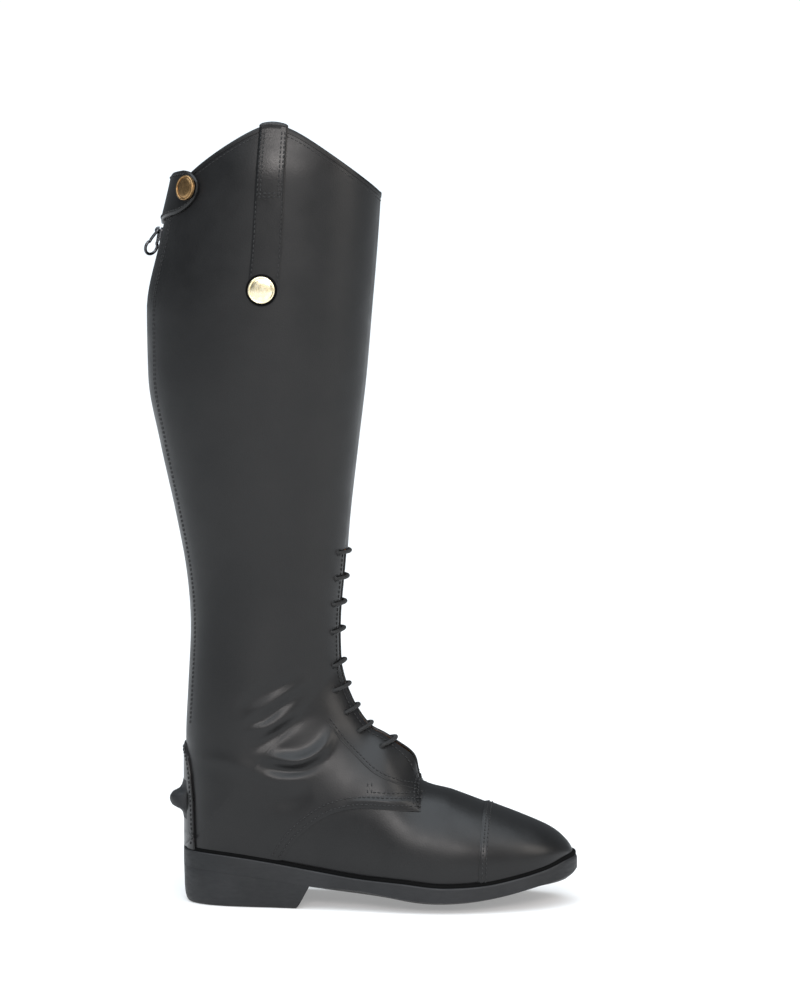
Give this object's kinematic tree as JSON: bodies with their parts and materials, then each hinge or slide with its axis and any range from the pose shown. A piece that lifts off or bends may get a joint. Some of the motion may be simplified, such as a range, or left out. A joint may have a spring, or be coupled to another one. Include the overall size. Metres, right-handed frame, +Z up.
{
  "type": "lace-up riding boot",
  "caption": "Tall black leather riding boot with a laced instep, back zip under a snap tab, toe cap and heeled sole; it stands empty on its heel and forefoot.",
  "frame": {"origin": "middle of the boot's box on the floor", "axes": "+X to the toe, +Y to the inner (left) side of this right boot, +Z up"},
  "size_m": [0.2885, 0.106, 0.5183],
  "materials": {
    "upper_leather": "black smooth calf leather, satin",
    "trim_leather": "black smooth leather, satin",
    "sole_rubber": "matte black rubber",
    "lining": "tan lining leather, matte",
    "brass": "polished brass",
    "zip_metal": "gunmetal",
    "zip_tape": "black woven tape",
    "lace_cord": "black braided elastic cord"
  },
  "bodies": {
    "boot": {"outsole": "sole_rubber", "heel": "sole_rubber", "insole": "lining", "upper": "upper_leather", "tongue": "upper_leather", "heel_counter": "trim_leather", "spur_rest": "trim_leather", "peak_strap": "trim_leather", "strap_button": "brass", "snap_tab": "trim_leather", "snap_button": "brass", "zip_tape": "zip_tape", "zip_chain": "zip_metal", "zip_slider": "zip_metal", "lace_bar_1": "lace_cord", "lace_bar_2": "lace_cord", "lace_bar_3": "lace_cord", "lace_bar_4": "lace_cord", "lace_bar_5": "lace_cord", "lace_bar_6": "lace_cord", "lace_bar_7": "lace_cord", "lace_bar_8": "lace_cord", "lace_bar_9": "lace_cord"},
    "pull": {"zip_pull": "zip_metal"}
  },
  "joints": [
    {"name": "zip_pull_hinge", "type": "hinge", "parent": "boot", "child": "pull", "pos_m": [-0.13488, 0.00243, 0.44836], "axis": [0, 1, 0], "range_deg": [0, 130]}
  ]
}
